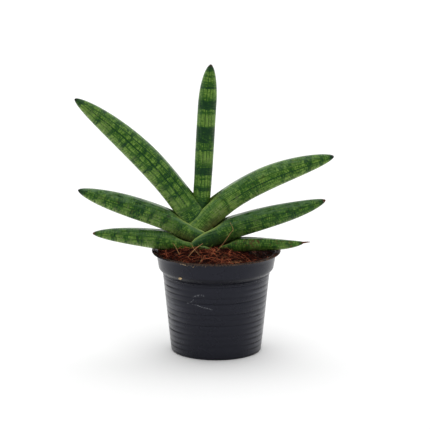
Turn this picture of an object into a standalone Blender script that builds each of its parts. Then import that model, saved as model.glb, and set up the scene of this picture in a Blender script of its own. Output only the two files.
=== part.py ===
"""A potted snake plant: seven thick round leaves in a flat fan, rooted in coir in a ribbed nursery pot.

Metres, +Z up. The origin is the middle of the pot's underside, and the fan lies in the X-Z plane.
"""

import math
from collections import namedtuple

import bmesh
import bpy
from mathutils import Vector, noise

# Pot
POT_HEIGHT = 0.087
LIP_RADIUS = 0.055
LIP_THICKNESS = 0.001
COLLAR_HEIGHT = 0.0185
COLLAR_TOP_RADIUS = 0.0512
COLLAR_FOOT_RADIUS = 0.0490
COLLAR_SLANT = 0.0040
BODY_TOP_RADIUS = 0.0453
BODY_FOOT_RADIUS = 0.0384
SHOULDER_DROP = 0.0012
WALL = 0.001
FLOOR_THICKNESS = 0.0012
FOOT_BEVEL = 0.001
RIB_COUNT = 11
RIB_PITCH = 0.0049
RIB_DEPTH = 0.0003
RIB_START_DROP = 0.0045
PAD_RADIUS = 0.021
GUTTER_WIDTH = 0.011
GUTTER_RISE = 0.003
GUTTER_SLOPE_RUN = 0.0015
DRAIN_HOLES = 8
DRAIN_DIAMETER = 0.007
DRAIN_HOLE_SEGMENTS = 12
POT_SEGMENTS = 48
POT_SHARP_ANGLE = math.radians(35)
MERGE_DISTANCE = 1e-6

# Coir
FIT_CLEARANCE = 0.0003
SOIL_BELOW_LIP = 0.0014
SOIL_TILT = 0.0034
MOUND_RISE = 0.0088
MOUND_RADIUS = 0.017
SOIL_ROUGHNESS = 0.0007
SOIL_GRAIN = 0.009
SOIL_RINGS = 9
SOIL_SEGMENTS = 40
SOIL_SHARP_ANGLE = math.radians(80)

# Crown: the short stem, under the coir, that every leaf grows from
CROWN_X = -0.0105
CROWN_BELOW_LIP = 0.023
CROWN_HEIGHT = 0.03
CROWN_RADIUS_X = 0.0085
CROWN_RADIUS_Y = 0.0064
CROWN_SEGMENTS = 16
CROWN_RINGS = 10

# Leaves, innermost first. base is x and y at the crown and the height over the lip's top. headings are
# degrees from +X towards +Z at the base, the middle and the tip. width is across the fan and thickness is
# in its plane, each with its own value at the clasping base. nose is how long the tapering end is, and
# sway is how far the tip leans out of the fan.
Leaf = namedtuple(
    "Leaf",
    "name base headings length thickness sheath_thickness width sheath_width nose sway",
)
LEAVES = (
    Leaf(
        name="leaf_centre",
        base=(-0.0189, 0.0, 0.0016),
        headings=(79.1, 91.8, 83.4),
        length=0.1584,
        thickness=0.0157,
        sheath_thickness=0.0158,
        width=0.0158,
        sheath_width=0.0150,
        nose=0.034,
        sway=0.006,
    ),
    Leaf(
        name="leaf_upper_left",
        base=(-0.0067, 0.0, 0.0056),
        headings=(115.2, 136.6, 143.2),
        length=0.1704,
        thickness=0.0228,
        sheath_thickness=0.0226,
        width=0.0216,
        sheath_width=0.0186,
        nose=0.090,
        sway=-0.005,
    ),
    Leaf(
        name="leaf_upper_right",
        base=(-0.0205, 0.0, 0.0119),
        headings=(58.0, 16.5, 14.8),
        length=0.1422,
        thickness=0.0210,
        sheath_thickness=0.0214,
        width=0.0206,
        sheath_width=0.0222,
        nose=0.076,
        sway=0.004,
    ),
    Leaf(
        name="leaf_middle_left",
        base=(-0.0033, 0.0, 0.0065),
        headings=(144.9, 168.4, 160.2),
        length=0.1234,
        thickness=0.0192,
        sheath_thickness=0.0202,
        width=0.0190,
        sheath_width=0.0258,
        nose=0.061,
        sway=-0.003,
    ),
    Leaf(
        name="leaf_middle_right",
        base=(-0.0184, 0.0, 0.0057),
        headings=(29.8, 6.0, 22.4),
        length=0.1182,
        thickness=0.0200,
        sheath_thickness=0.0194,
        width=0.0194,
        sheath_width=0.0294,
        nose=0.081,
        sway=-0.006,
    ),
    Leaf(
        name="leaf_lower_left",
        base=(-0.0020, 0.0, 0.0010),
        headings=(166.7, 175.2, 177.5),
        length=0.1044,
        thickness=0.0187,
        sheath_thickness=0.0164,
        width=0.0186,
        sheath_width=0.0326,
        nose=0.079,
        sway=0.003,
    ),
    Leaf(
        name="leaf_lower_right",
        base=(0.0011, -0.0040, 0.0010),
        headings=(23.5, -19.7, 12.5),
        length=0.0745,
        thickness=0.0121,
        sheath_thickness=0.0100,
        width=0.0130,
        sheath_width=0.0150,
        nose=0.062,
        sway=-0.002,
    ),
)
LEAVES_OVER_LIP = ("leaf_lower_left", "leaf_lower_right")
LIP_CLEARANCE = 0.0009
SHEATH_LENGTH = 0.048
HEEL_LENGTH = 0.014
HEEL_SHARE = 0.3
NOSE_POWER = 0.58
SHEATH_SQUARENESS = 3.2
LEAF_ROUNDNESS = 2.0
LEAF_RINGS = 20
LEAF_POINTS = 16
LEAF_SHARP_ANGLE = math.radians(60)
SPINE_STEPS = 120
CUTTER_EXTENSION = 0.003

# Loose coir strands: the points along each, as x, y and the height over the coir
Strand = namedtuple("Strand", "name diameter points")
STRANDS = (
    Strand(
        name="strand_leaning",
        diameter=0.0006,
        points=(
            (-0.0002, -0.0300, 0.0013),
            (0.0058, -0.0215, 0.0054),
            (0.0120, -0.0168, 0.0137),
            (0.0143, -0.0152, 0.0175),
            (0.0118, -0.0138, 0.0217),
        ),
    ),
    Strand(
        name="strand_thick",
        diameter=0.0010,
        points=(
            (-0.0232, -0.0350, 0.0013),
            (-0.0175, -0.0285, 0.0033),
            (-0.0113, -0.0205, 0.0035),
        ),
    ),
    Strand(
        name="strand_left",
        diameter=0.0007,
        points=(
            (-0.0368, -0.0155, 0.0056),
            (-0.0342, -0.0225, 0.0047),
            (-0.0309, -0.0300, 0.0008),
        ),
    ),
    Strand(
        name="strand_crossing",
        diameter=0.0006,
        points=(
            (-0.0215, -0.0195, 0.0036),
            (-0.0180, -0.0262, 0.0009),
            (-0.0138, -0.0350, 0.0013),
        ),
    ),
)
STRAND_STEPS = 14


def smooth_step(share):
    """0 to 1 with level ends."""
    share = min(max(share, 0.0), 1.0)
    return share * share * (3 - 2 * share)


def mix(first, last, share):
    return first + (last - first) * share


def new_material(name, colour, roughness):
    material = bpy.data.materials.new(name)
    material.use_nodes = True
    shader = material.node_tree.nodes["Principled BSDF"]
    shader.inputs["Base Color"].default_value = (*colour, 1.0)
    shader.inputs["Roughness"].default_value = roughness
    material.diffuse_color = (*colour, 1.0)
    return material


def add_object(name, bm, material=None, sharp_angle=POT_SHARP_ANGLE):
    """Makes an object of the bmesh, shaded smooth up to the sharp angle."""
    mesh = bpy.data.meshes.new(name)
    bm.to_mesh(mesh)
    bm.free()
    mesh.shade_smooth()
    mesh.set_sharp_from_angle(angle=sharp_angle)
    obj = bpy.data.objects.new(name, mesh)
    bpy.context.scene.collection.objects.link(obj)
    if material:
        mesh.materials.append(material)
    return obj


def add_cutter(name, bm):
    """Makes a hidden helper that only Booleans use."""
    obj = add_object(name, bm)
    obj.hide_render = True
    obj.display_type = "WIRE"
    return obj


def cut(obj, cutters):
    """Takes the cutters away. The exact solver can lose a body where many cutters cross at one place."""
    for cutter in cutters:
        modifier = obj.modifiers.new("cut_" + cutter.name, "BOOLEAN")
        modifier.operation = "DIFFERENCE"
        modifier.object = cutter
        modifier.solver = "MANIFOLD"


def keep_main_body(obj):
    """Applies the cuts, and clears the loose slivers that they leave beside the body."""
    graph = bpy.context.evaluated_depsgraph_get()
    mesh = bpy.data.meshes.new_from_object(obj.evaluated_get(graph))
    obj.modifiers.clear()
    obj.data = mesh
    bm = bmesh.new()
    bm.from_mesh(mesh)
    bodies = []
    waiting = set(bm.verts)
    while waiting:
        body = set()
        edge_of_body = [waiting.pop()]
        while edge_of_body:
            vert = edge_of_body.pop()
            body.add(vert)
            nearby = {edge.other_vert(vert) for edge in vert.link_edges} & waiting
            waiting -= nearby
            edge_of_body.extend(nearby)
        bodies.append(body)
    main_body = max(bodies, key=len)
    bmesh.ops.delete(bm, geom=[v for v in bm.verts if v not in main_body], context="VERTS")
    bm.to_mesh(mesh)
    bm.free()


def spun(profile, segments):
    """The closed solid that a profile of (radius, height) points makes when it turns round Z."""
    bm = bmesh.new()
    points = [bm.verts.new((radius, 0, height)) for radius, height in profile]
    edges = [bm.edges.new(pair) for pair in zip(points, points[1:])]
    if profile[0][0] > 0:
        edges.append(bm.edges.new((points[-1], points[0])))
    bmesh.ops.spin(
        bm,
        geom=points + edges,
        axis=(0, 0, 1),
        cent=(0, 0, 0),
        steps=segments,
        angle=2 * math.pi,
        use_merge=True,
    )
    bmesh.ops.remove_doubles(bm, verts=bm.verts, dist=MERGE_DISTANCE)
    bmesh.ops.recalc_face_normals(bm, faces=bm.faces)
    return bm


def body_radius(height):
    """The pot body's outer radius between its foot and the shoulder, without ribs."""
    return mix(BODY_FOOT_RADIUS, BODY_TOP_RADIUS, height / shoulder_height())


def shoulder_height():
    return POT_HEIGHT - COLLAR_HEIGHT - SHOULDER_DROP


def rib_heights():
    """Crest heights, from the shoulder down."""
    top = shoulder_height() - RIB_START_DROP
    return [top - index * RIB_PITCH for index in range(RIB_COUNT)]


def pot_underside():
    """From the middle outwards: a flat pad, a raised gutter that holds the drain holes, and the foot."""
    gutter_start = PAD_RADIUS
    gutter_end = PAD_RADIUS + GUTTER_WIDTH
    return [
        (0, 0),
        (gutter_start, 0),
        (gutter_start + GUTTER_SLOPE_RUN, GUTTER_RISE),
        (gutter_end - GUTTER_SLOPE_RUN, GUTTER_RISE),
        (gutter_end, 0),
        (BODY_FOOT_RADIUS - FOOT_BEVEL, 0),
        (BODY_FOOT_RADIUS, FOOT_BEVEL),
    ]


def pot_outside():
    """From the foot up to the lip's edge."""
    profile = []
    for height in reversed(rib_heights()):
        profile.append((body_radius(height - RIB_PITCH / 2), height - RIB_PITCH / 2))
        profile.append((body_radius(height) + RIB_DEPTH, height))
    last = rib_heights()[0] + RIB_PITCH / 2
    profile.append((body_radius(last), last))
    profile.append((BODY_TOP_RADIUS, shoulder_height()))
    profile.append((COLLAR_FOOT_RADIUS, POT_HEIGHT - COLLAR_HEIGHT + COLLAR_SLANT))
    profile.append((COLLAR_TOP_RADIUS, POT_HEIGHT - LIP_THICKNESS))
    profile.append((LIP_RADIUS, POT_HEIGHT - LIP_THICKNESS))
    profile.append((LIP_RADIUS, POT_HEIGHT))
    return profile


def pot_inside(clearance=0.0):
    """From the lip down to the middle of the floor, drawn in by a clearance."""
    inset = WALL + clearance
    rise = FLOOR_THICKNESS + clearance
    gutter_end = PAD_RADIUS + GUTTER_WIDTH
    return [
        (COLLAR_TOP_RADIUS - inset, POT_HEIGHT),
        (COLLAR_FOOT_RADIUS - inset, POT_HEIGHT - COLLAR_HEIGHT + COLLAR_SLANT),
        (BODY_TOP_RADIUS - inset, shoulder_height()),
        (BODY_FOOT_RADIUS - inset, rise),
        (gutter_end + clearance, rise),
        (gutter_end - GUTTER_SLOPE_RUN + clearance, GUTTER_RISE + rise),
        (PAD_RADIUS + GUTTER_SLOPE_RUN - clearance, GUTTER_RISE + rise),
        (PAD_RADIUS - clearance, rise),
        (0, rise),
    ]


def drain_hole_cutter():
    bm = bmesh.new()
    radius = PAD_RADIUS + GUTTER_WIDTH / 2
    for index in range(DRAIN_HOLES):
        angle = 2 * math.pi * (index + 0.5) / DRAIN_HOLES
        made = bmesh.ops.create_cone(
            bm,
            cap_ends=True,
            segments=DRAIN_HOLE_SEGMENTS,
            radius1=DRAIN_DIAMETER / 2,
            radius2=DRAIN_DIAMETER / 2,
            depth=2 * (GUTTER_RISE + FLOOR_THICKNESS),
        )
        place = Vector((radius * math.cos(angle), radius * math.sin(angle), GUTTER_RISE))
        bmesh.ops.translate(bm, verts=made["verts"], vec=place)
    return add_cutter("drain_hole_cutter", bm)


def make_pot():
    material = new_material("black_polypropylene", (0.024, 0.025, 0.029), 0.38)
    profile = pot_underside() + pot_outside() + pot_inside()
    pot = add_object("pot", spun(profile, POT_SEGMENTS), material)
    cut(pot, [drain_hole_cutter()])
    return pot


def soil_height(x, y):
    """The coir's top: a mound round the crown, lower towards +X, with a rough grain."""
    away = math.hypot(x - CROWN_X, y)
    rim = COLLAR_TOP_RADIUS - WALL
    fall = smooth_step((away - MOUND_RADIUS) / (rim - MOUND_RADIUS))
    level = POT_HEIGHT - SOIL_BELOW_LIP + MOUND_RISE * (1 - fall)
    tilt = SOIL_TILT * smooth_step(x / rim)
    grain = noise.noise(Vector((x, y, 0.0)) / SOIL_GRAIN)
    return level - tilt + SOIL_ROUGHNESS * grain


def make_substrate(cutters):
    """Fills the pot. Its side and floor keep the fit clearance to the pot's inside."""
    material = new_material("coir", (0.12, 0.036, 0.014), 0.9)
    side = pot_inside(FIT_CLEARANCE)[1:]
    slope = (COLLAR_TOP_RADIUS - COLLAR_FOOT_RADIUS) / (COLLAR_HEIGHT - COLLAR_SLANT)
    top_level = POT_HEIGHT - SOIL_BELOW_LIP
    top_radius = COLLAR_TOP_RADIUS - WALL - FIT_CLEARANCE - slope * SOIL_BELOW_LIP
    rings = [(top_radius * index / SOIL_RINGS, top_level) for index in range(SOIL_RINGS + 1)]
    bm = spun(rings + side, SOIL_SEGMENTS)
    for vert in bm.verts:
        if abs(vert.co.z - top_level) < MERGE_DISTANCE:
            vert.co.z = soil_height(vert.co.x, vert.co.y)
            away = math.hypot(vert.co.x, vert.co.y)
            if away > top_radius - MERGE_DISTANCE:
                drop = max(0.0, top_level - vert.co.z)
                vert.co.xy *= (top_radius - slope * drop) / away
    substrate = add_object("substrate", bm, material, SOIL_SHARP_ANGLE)
    cut(substrate, cutters)
    return substrate


def crown_mesh(clearance=0.0):
    """A short upright stem with round ends."""
    bm = bmesh.new()
    bmesh.ops.create_uvsphere(bm, u_segments=CROWN_SEGMENTS, v_segments=CROWN_RINGS, radius=1.0)
    middle = POT_HEIGHT - CROWN_BELOW_LIP + CROWN_HEIGHT / 2
    for vert in bm.verts:
        vert.co.x = CROWN_X + vert.co.x * (CROWN_RADIUS_X + clearance)
        vert.co.y = vert.co.y * (CROWN_RADIUS_Y + clearance)
        vert.co.z = middle + vert.co.z * (CROWN_HEIGHT / 2 + clearance)
    return bm


def spine(leaf):
    """Points along the middle of the leaf, from its base to its tip."""
    points = []
    step = leaf.length / SPINE_STEPS
    x, base_y, rise = leaf.base
    z = POT_HEIGHT + rise
    first, middle, last = leaf.headings
    for index in range(SPINE_STEPS + 1):
        share = index / SPINE_STEPS
        points.append(Vector((x, base_y + leaf.sway * share * share, z)))
        along = share + 0.5 / SPINE_STEPS
        heading = (1 - along) ** 2 * first + 2 * along * (1 - along) * middle + along**2 * last
        x += step * math.cos(math.radians(heading))
        z += step * math.sin(math.radians(heading))
    return points


def half_sizes(leaf, along):
    """Half the leaf's width and thickness at a distance from its base."""
    to_tip = max(leaf.length - along, 0.0)
    nose = 1.0
    if to_tip < leaf.nose:
        nose = (1 - (1 - to_tip / leaf.nose) ** 2) ** NOSE_POWER
    heel = 1.0
    if along < HEEL_LENGTH:
        share = mix(HEEL_SHARE, 1.0, max(along, 0.0) / HEEL_LENGTH)
        heel = math.sqrt(1 - (1 - share) ** 2)
    opened = smooth_step(along / SHEATH_LENGTH)
    width = mix(leaf.sheath_width, leaf.width, opened) * nose
    thickness = mix(leaf.sheath_thickness, leaf.thickness, opened) * nose * heel
    return width / 2, thickness / 2


def lip_lift(leaf):
    """How far a low leaf has to rise for its underside to clear the pot's lip."""
    if leaf.name not in LEAVES_OVER_LIP:
        return 0.0
    lift = -math.inf
    for index, point in enumerate(spine(leaf)):
        over_lip = COLLAR_TOP_RADIUS - WALL < math.hypot(point.x, point.y) < LIP_RADIUS
        if over_lip:
            thickness = half_sizes(leaf, leaf.length * index / SPINE_STEPS)[1]
            lift = max(lift, POT_HEIGHT + LIP_CLEARANCE + thickness - point.z)
    return max(lift, 0.0) if math.isfinite(lift) else 0.0


def leaf_mesh(leaf, clearance=0.0, extension=0.0):
    """Rings of points swept along the spine, closed at the heel and the tip.

    The clearance grows it all round, and the extension lengthens it at the heel.
    """
    points = spine(leaf)
    lift = Vector((0, 0, lip_lift(leaf)))
    tangents = [(b - a).normalized() for a, b in zip(points, points[1:])]
    tangents.append(tangents[-1])
    bm = bmesh.new()
    rings = []
    last_ring = LEAF_RINGS - 1
    for ring in range(LEAF_RINGS):
        share = (1 - math.cos(math.pi * ring / last_ring)) / 2
        index = min(round(share * SPINE_STEPS), SPINE_STEPS - 1)
        centre = points[index] + lift
        tangent = tangents[index]
        if ring == 0:
            centre = centre - tangent * extension
        side = Vector((0, 1, 0))
        side = (side - tangent * side.dot(tangent)).normalized()
        upper = tangent.cross(side)
        along = leaf.length * index / SPINE_STEPS
        half_width, half_thickness = half_sizes(leaf, along)
        half_width += clearance
        half_thickness += clearance
        opened = smooth_step(along / SHEATH_LENGTH)
        power = 2 / mix(SHEATH_SQUARENESS, LEAF_ROUNDNESS, opened)
        loop = []
        for step in range(LEAF_POINTS):
            angle = 2 * math.pi * step / LEAF_POINTS
            across = math.copysign(abs(math.cos(angle)) ** power, math.cos(angle))
            up = math.copysign(abs(math.sin(angle)) ** power, math.sin(angle))
            offset = side * half_width * across + upper * half_thickness * up
            loop.append(bm.verts.new(centre + offset))
        rings.append(loop)
    for lower, higher in zip(rings, rings[1:]):
        for step in range(LEAF_POINTS):
            following = (step + 1) % LEAF_POINTS
            bm.faces.new((lower[step], lower[following], higher[following], higher[step]))
    bm.faces.new(list(reversed(rings[0])))
    tip = bm.verts.new(points[-1] + lift + tangents[-1] * clearance)
    for step in range(LEAF_POINTS):
        bm.faces.new((rings[-1][step], rings[-1][(step + 1) % LEAF_POINTS], tip))
    bmesh.ops.recalc_face_normals(bm, faces=bm.faces)
    return bm


def make_crown():
    material = new_material("pale_stem", (0.42, 0.36, 0.16), 0.6)
    crown = add_object("crown", crown_mesh(), material)
    cutter = add_cutter("crown_cutter", crown_mesh(FIT_CLEARANCE))
    return crown, cutter


def make_leaves(crown_cutter):
    """Innermost leaf first: each one is cut to clasp the crown and every leaf inside it."""
    material = new_material("banded_leaf", (0.055, 0.165, 0.035), 0.42)
    cutters = [crown_cutter]
    for leaf in LEAVES:
        obj = add_object(leaf.name, leaf_mesh(leaf), material, LEAF_SHARP_ANGLE)
        cut(obj, cutters)
        keep_main_body(obj)
        cutter_mesh = leaf_mesh(leaf, FIT_CLEARANCE, CUTTER_EXTENSION)
        cutters.append(add_cutter(leaf.name + "_cutter", cutter_mesh))
    return cutters


def curve_through(points, steps):
    """Evenly stepped points on a smooth curve through the given ones."""
    ends = [2 * points[0] - points[1], *points, 2 * points[-1] - points[-2]]
    found = []
    for index in range(steps + 1):
        place = (len(points) - 1) * index / steps
        start = min(int(place), len(points) - 2)
        share = place - start
        a, b, c, d = ends[start : start + 4]
        found.append(
            b
            + (c - a) * (share / 2)
            + (2 * a - 5 * b + 4 * c - d) * (share**2 / 2)
            + (3 * (b - c) + d - a) * (share**3 / 2)
        )
    return found


def make_strand(strand, material):
    """A loose fibre: a bevelled curve that lies on the coir or leans on a leaf."""
    curve = bpy.data.curves.new(strand.name, "CURVE")
    curve.dimensions = "3D"
    curve.bevel_depth = strand.diameter / 2
    curve.bevel_resolution = 1
    curve.use_fill_caps = True
    given = [Vector((x, y, soil_height(x, y) + rise)) for x, y, rise in strand.points]
    points = curve_through(given, STRAND_STEPS)
    spline = curve.splines.new("POLY")
    spline.points.add(len(points) - 1)
    for target, point in zip(spline.points, points):
        target.co = (*point, 1.0)
    obj = bpy.data.objects.new(strand.name, curve)
    bpy.context.scene.collection.objects.link(obj)
    curve.materials.append(material)
    return obj


def main():
    for obj in list(bpy.data.objects):
        bpy.data.objects.remove(obj, do_unlink=True)
    make_pot()
    _, crown_cutter = make_crown()
    cutters = make_leaves(crown_cutter)
    make_substrate(cutters)
    strand_material = new_material("coir_strand", (0.42, 0.16, 0.06), 0.8)
    for strand in STRANDS:
        make_strand(strand, strand_material)


main()
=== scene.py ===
"""Looks for a potted snake plant: a nursery pot, a bed of loose coir, and seven banded leaves in a flat fan.

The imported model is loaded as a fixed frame, and every piece here stands where its solid stands. Lengths are
in metres, unless a comment says millimetres.
"""

import math
import random
from functools import partial

import bmesh
import bpy
from bpy.props import FloatProperty, FloatVectorProperty, IntProperty, PointerProperty
from mathutils import Matrix, Vector, noise


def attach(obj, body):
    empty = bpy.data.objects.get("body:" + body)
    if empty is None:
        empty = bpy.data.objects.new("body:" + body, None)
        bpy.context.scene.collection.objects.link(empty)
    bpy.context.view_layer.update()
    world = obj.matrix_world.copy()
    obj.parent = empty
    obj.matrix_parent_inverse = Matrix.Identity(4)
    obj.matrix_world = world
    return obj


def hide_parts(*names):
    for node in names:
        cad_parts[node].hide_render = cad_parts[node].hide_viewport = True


bl_info = {
    "name": "Potted snake plant",
    "version": (1, 0, 0),
    "blender": (4, 5, 0),
    "location": "View3D > Sidebar > Snake plant",
    "description": "Builds the looks of a potted snake plant round its packed model",
    "category": "Add Mesh",
}

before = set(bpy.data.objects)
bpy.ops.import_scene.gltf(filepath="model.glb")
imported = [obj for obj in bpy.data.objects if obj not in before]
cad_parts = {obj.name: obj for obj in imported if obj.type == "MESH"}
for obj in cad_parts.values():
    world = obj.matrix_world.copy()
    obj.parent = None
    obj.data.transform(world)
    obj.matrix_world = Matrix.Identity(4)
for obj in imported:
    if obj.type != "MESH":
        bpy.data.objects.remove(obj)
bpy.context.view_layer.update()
MM = 0.001


def linear(hex_colour):
    """Turns an sRGB hex colour to linear RGB, with an alpha of 1."""
    values = [int(hex_colour[start : start + 2], 16) / 255 for start in (1, 3, 5)]
    return (*(v / 12.92 if v <= 0.04045 else ((v + 0.055) / 1.055) ** 2.4 for v in values), 1.0)


def smooth_step(share):
    share = min(max(share, 0.0), 1.0)
    return share * share * (3 - 2 * share)


def mix(first, last, share):
    return first + (last - first) * share


def ramp(value, low, high):
    """0 below low, 1 above high, smooth between."""
    return smooth_step((value - low) / (high - low))


# ---------------------------------------------------------------- settings


def length_setting(name, description, default):
    return FloatProperty(name=name, description=description, default=default, unit="LENGTH", precision=5)


def colour_setting(name, description, hex_colour):
    return FloatVectorProperty(
        name=name,
        description=description,
        default=linear(hex_colour),
        subtype="COLOR",
        size=4,
        min=0.0,
        max=1.0,
    )


class PotSettings(bpy.types.PropertyGroup):
    rib_depth: length_setting("Rib depth", "How far each rib stands out", 0.00020)
    lip_wave: length_setting("Lip wave", "How far the thin lip strays up and down", 0.0005)
    colour: colour_setting("Plastic", "Moulded black polypropylene", "#131318")
    sheen: colour_setting("Sheen", "Cool tint of the plastic's highlights", "#d8dcf4")
    scuff: colour_setting("Scuffs", "Stress-whitened scratches", "#a9acb0")
    dust: colour_setting("Dust", "Dry coir dust on the lip", "#5c4a3f")


class CoirSettings(bpy.types.PropertyGroup):
    fibres: IntProperty(name="Fibres", description="Loose fibres on top", default=1600, min=0)
    crumbs: IntProperty(name="Crumbs", description="Pith crumbs on top", default=600, min=0)
    dark: colour_setting("Damp pith", "The shaded, damp pith", "#100401")
    middle: colour_setting("Pith", "Dry pith", "#5a1f10")
    light: colour_setting("Fibre", "Pale dry fibre", "#c76f4c")
    crumb: colour_setting("Dry crumb", "Dry crumbs stuck to the pot", "#c9b08a")
    straw: colour_setting("Straw", "Bleached strands", "#b08358")


class LeafSettings(bpy.types.PropertyGroup):
    wall: length_setting("Margin", "Thickness of the clasping sheath's margin", 0.0012)
    light: colour_setting("Light skin", "The palest skin between the bands", "#73963f")
    middle: colour_setting("Skin", "The skin between ticks and bands", "#335d17")
    # The dark skin also paints shade low on each sheath by the coir.
    dark: colour_setting("Dark skin", "Dark bands, ticks and grooves", "#12381a")
    pale: colour_setting("Lower flank", "Pale flecks on the lower flank", "#97ab66")
    # The bloom colour paints a real waxy bloom and also a painted sheen where light falls on the upper flank.
    waxy: colour_setting("Bloom", "Grey-green waxy bloom on the upper flank", "#5d7f55")
    margin: colour_setting("Margin", "Pale margin of the sheath", "#b2ca68")
    olive: colour_setting("Sheath tinge", "Olive-brown tinge low on the sheath", "#45391f")
    tip: colour_setting("Green tip", "Dark, hard tip", "#1a2416")
    dried: colour_setting("Dried tip", "Dried, corky tip", "#5c3320")


class StageSettings(bpy.types.PropertyGroup):
    floor_radius: length_setting("Floor radius", "Radius of the studio floor", 14.0)
    floor: colour_setting("Floor", "Pale studio floor", "#fbfbfb")
    back_light: FloatProperty(name="Cove", description="Light from behind the plant", default=1.9)
    front_light: FloatProperty(name="Room", description="Light from behind the camera", default=0.2)
    top_light: FloatProperty(name="Softbox", description="Light from above", default=1.0)


class PlantSettings(bpy.types.PropertyGroup):
    pot: PointerProperty(type=PotSettings)
    coir: PointerProperty(type=CoirSettings)
    leaf: PointerProperty(type=LeafSettings)
    stage: PointerProperty(type=StageSettings)


# ---------------------------------------------------------------- nodes

MOST = {"operation": "MAXIMUM"}


def feed(node, inputs):
    """Sets a node's inputs, or links them to the outputs given."""
    for key, value in inputs.items():
        if isinstance(value, bpy.types.NodeSocket):
            node.id_data.links.new(value, node.inputs[key])
        else:
            node.inputs[key].default_value = value


def add_node(tree, kind, *inputs, output=0, **named):
    """Adds a node and gives an output. A name with a capital is an input's, and any other a setting's."""
    node = tree.nodes.new("ShaderNode" + kind)
    for name, value in named.items():
        if name.islower():
            setattr(node, name, value)
    feed(node, dict(enumerate(inputs)) | {name: named[name] for name in named if not name.islower()})
    return node.outputs[output]


def new_material(name, inputs):
    """A material whose shader has these inputs, with a shorthand that adds a node to it, and the shader."""
    material = bpy.data.materials.new(name)
    material.use_nodes = True
    shader = material.node_tree.nodes["Principled BSDF"]
    feed(shader, inputs)
    return material, partial(add_node, material.node_tree), shader


def where_all(node, *masks):
    """The masks multiplied. Each is a strength, an output, or an output with where it is 0 and where 1."""
    share = None
    for mask in masks:
        if isinstance(mask, tuple):
            mask = node("MapRange", *mask, interpolation_type="SMOOTHSTEP")
        share = mask if share is None else node("Math", share, mask, operation="MULTIPLY")
    return share


def weigh(node, total, *parts):
    """A start value, plus each part times its weight."""
    for part, weight in parts:
        total = node("Math", part, weight, total, operation="MULTIPLY_ADD")
    return total


def lay_over(node, ground, *layers):
    """Lays colours over a ground. Each layer is its masks and then its colour."""
    for *masks, colour in layers:
        mixed = node("Mix", output=2, data_type="RGBA")
        feed(mixed.node, {0: where_all(node, *masks), 6: ground, 7: colour})
        ground = mixed
    return ground


def shade(colour, share):
    """The colour made darker or lighter."""
    return (*(min(part * share, 1.0) for part in colour[:3]), 1.0)


def mix_colours(first, last, share):
    return tuple(mix(a, b, share) for a, b in zip(first, last))


# ---------------------------------------------------------------- mesh work


def deselect_all():
    for obj in bpy.context.selected_objects:
        obj.select_set(False)


def make_active(obj):
    deselect_all()
    bpy.context.view_layer.objects.active = obj
    obj.select_set(True)


def added(name):
    """Names the primitive that was just added."""
    obj = bpy.context.active_object
    obj.name = name
    obj.data.name = name
    return obj


def new_object(name, data):
    obj = bpy.data.objects.new(name, data)
    bpy.context.scene.collection.objects.link(obj)
    return obj


def new_path(name, points, radii=None):
    """A curve of straight steps through the points."""
    curve = bpy.data.curves.new(name, "CURVE")
    curve.dimensions = "3D"
    spline = curve.splines.new("POLY")
    spline.points.add(len(points) - 1)
    for target, point, radius in zip(spline.points, points, radii or [1.0] * len(points)):
        target.co = (*point, 1.0)
        target.radius = radius
    return new_object(name, curve)


def start_edit(obj, select):
    make_active(obj)
    bpy.ops.object.mode_set(mode="EDIT")
    bpy.ops.mesh.select_all(action=select)


def end_edit():
    bpy.ops.object.mode_set(mode="OBJECT")


def select_parts(obj, kind, test):
    """In edit mode with nothing selected, selects the edges or the faces that pass."""
    bpy.ops.mesh.select_mode(type=kind)
    shape = bmesh.from_edit_mesh(obj.data)
    for part in shape.edges if kind == "EDGE" else shape.faces:
        if test(part):
            part.select_set(True)
    shape.select_flush_mode()
    bmesh.update_edit_mesh(obj.data)


def apply_modifier(obj, kind, **settings):
    make_active(obj)
    modifier = obj.modifiers.new(kind.title(), kind)
    for name, value in settings.items():
        setattr(modifier, name, value)
    bpy.ops.object.modifier_apply(modifier=modifier.name)


def subdivide_surface(obj, levels):
    apply_modifier(obj, "SUBSURF", levels=levels, render_levels=levels)


def join_pieces(pieces, name):
    deselect_all()
    for piece in pieces:
        piece.select_set(True)
    bpy.context.view_layer.objects.active = pieces[0]
    if len(pieces) > 1:
        bpy.ops.object.join()
    return added(name)


def finish_piece(obj, materials, nodes=(), smooth_angle=math.radians(50)):
    """Gives the piece its materials, its shading, its body and the solids it stands for."""
    if len(obj.data.materials) != len(materials):
        obj.data.materials.clear()
        for material in materials:
            obj.data.materials.append(material)
    make_active(obj)
    bpy.ops.object.shade_smooth_by_angle(angle=smooth_angle)
    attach(obj, "root")
    if nodes:
        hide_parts(*nodes)


# ---------------------------------------------------------------- stage

CAMERA_PLACE = (-0.001, -1.9451, 0.5522)
CAMERA_PITCH = math.radians(12.597)
CAMERA_LENS = 196.3
CAMERA_REACH = 100.0
SOFTBOX_PITCH = math.radians(32)
SOFTBOX_SPREAD = math.radians(70)


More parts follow.
